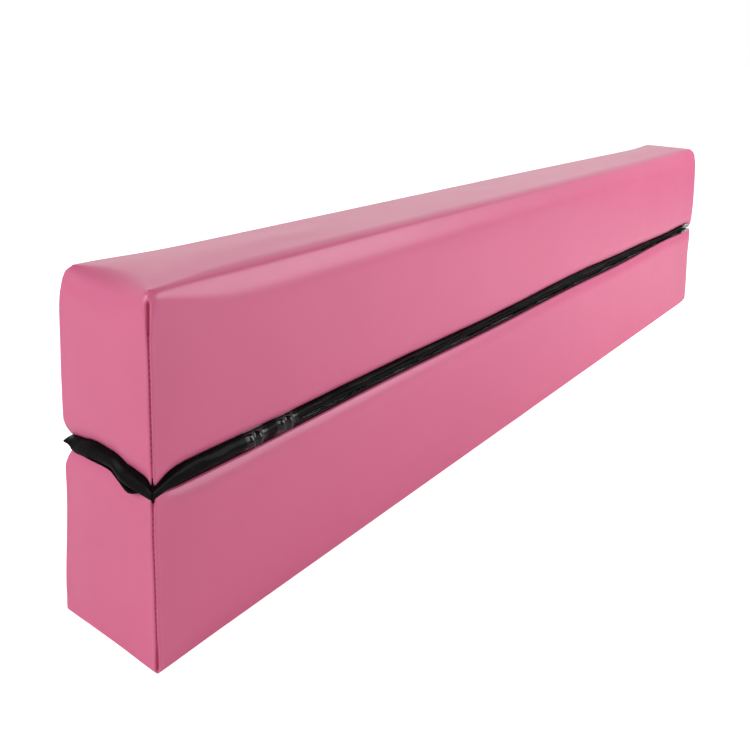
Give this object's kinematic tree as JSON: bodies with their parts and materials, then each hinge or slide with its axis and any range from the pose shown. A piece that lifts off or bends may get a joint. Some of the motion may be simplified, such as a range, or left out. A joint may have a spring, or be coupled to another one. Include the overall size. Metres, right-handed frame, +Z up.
{
  "type": "balance beam",
  "caption": "Foam floor balance beam, folded in half end to end: two satin-covered foam blocks stacked base to base, joined by a sheet hinge, each with a zip under a dark flap.",
  "frame": {"origin": "centre of the lower block's walking face, which the folded beam rests on", "axes": "+X along the beam towards the fold, -Y the side with the zip sliders, +Z up"},
  "size_m": [1.1582, 0.11, 0.268],
  "materials": {
    "cover_satin": "satin",
    "foam": "matte",
    "base_vinyl": "satin",
    "flap_vinyl": "gloss",
    "zip_tape": "matte",
    "zip_coil": "satin",
    "zip_metal": "satin",
    "seam_thread": "matte"
  },
  "bodies": {
    "lower_half": {"lower_cover": "cover_satin", "lower_foam_base_layer": "foam", "lower_foam_middle_layer": "foam", "lower_foam_crown_layer": "foam", "lower_base_sheet": "base_vinyl", "lower_zip_base_tape": "zip_tape", "lower_zip_cover_tape": "zip_tape", "lower_zip_base_coil": "zip_coil", "lower_zip_cover_coil": "zip_coil", "lower_zip_stops": "zip_metal", "lower_corner_seam_thread": "seam_thread", "lower_zip_flap": "flap_vinyl", "hinge_fold": "base_vinyl"},
    "upper_half": {"upper_cover": "cover_satin", "upper_foam_base_layer": "foam", "upper_foam_middle_layer": "foam", "upper_foam_crown_layer": "foam", "upper_base_sheet": "base_vinyl", "upper_zip_base_tape": "zip_tape", "upper_zip_cover_tape": "zip_tape", "upper_zip_base_coil": "zip_coil", "upper_zip_cover_coil": "zip_coil", "upper_zip_stops": "zip_metal", "upper_corner_seam_thread": "seam_thread", "upper_zip_flap": "flap_vinyl"},
    "lower_slider": {"lower_zip_slider": "zip_metal"},
    "lower_pull": {"lower_zip_pull": "zip_metal"},
    "upper_slider": {"upper_zip_slider": "zip_metal"},
    "upper_pull": {"upper_zip_pull": "zip_metal"}
  },
  "joints": [
    {"name": "fold", "type": "hinge", "parent": "lower_half", "child": "upper_half", "pos_m": [0.577, 0, 0.134], "axis": [0, 1, 0], "range_deg": [0, 180], "deforming": ["hinge_fold"]},
    {"name": "lower_zip_slide", "type": "slide", "parent": "lower_half", "child": "lower_slider", "axis": [-1, 0, 0], "range_m": [0, 1.08]},
    {"name": "lower_pull_swing", "type": "hinge", "parent": "lower_slider", "child": "lower_pull", "pos_m": [0.5406, -0.0476, 0.1293], "axis": [0, 0, -1], "range_deg": [0, 120]},
    {"name": "upper_zip_slide", "type": "slide", "parent": "upper_half", "child": "upper_slider", "axis": [-1, 0, 0], "range_m": [0, 1.08]},
    {"name": "upper_pull_swing", "type": "hinge", "parent": "upper_slider", "child": "upper_pull", "pos_m": [0.5406, -0.0476, 0.1387], "axis": [0, 0, -1], "range_deg": [0, 120], "deforming": ["upper_zip_flap"]}
  ]
}
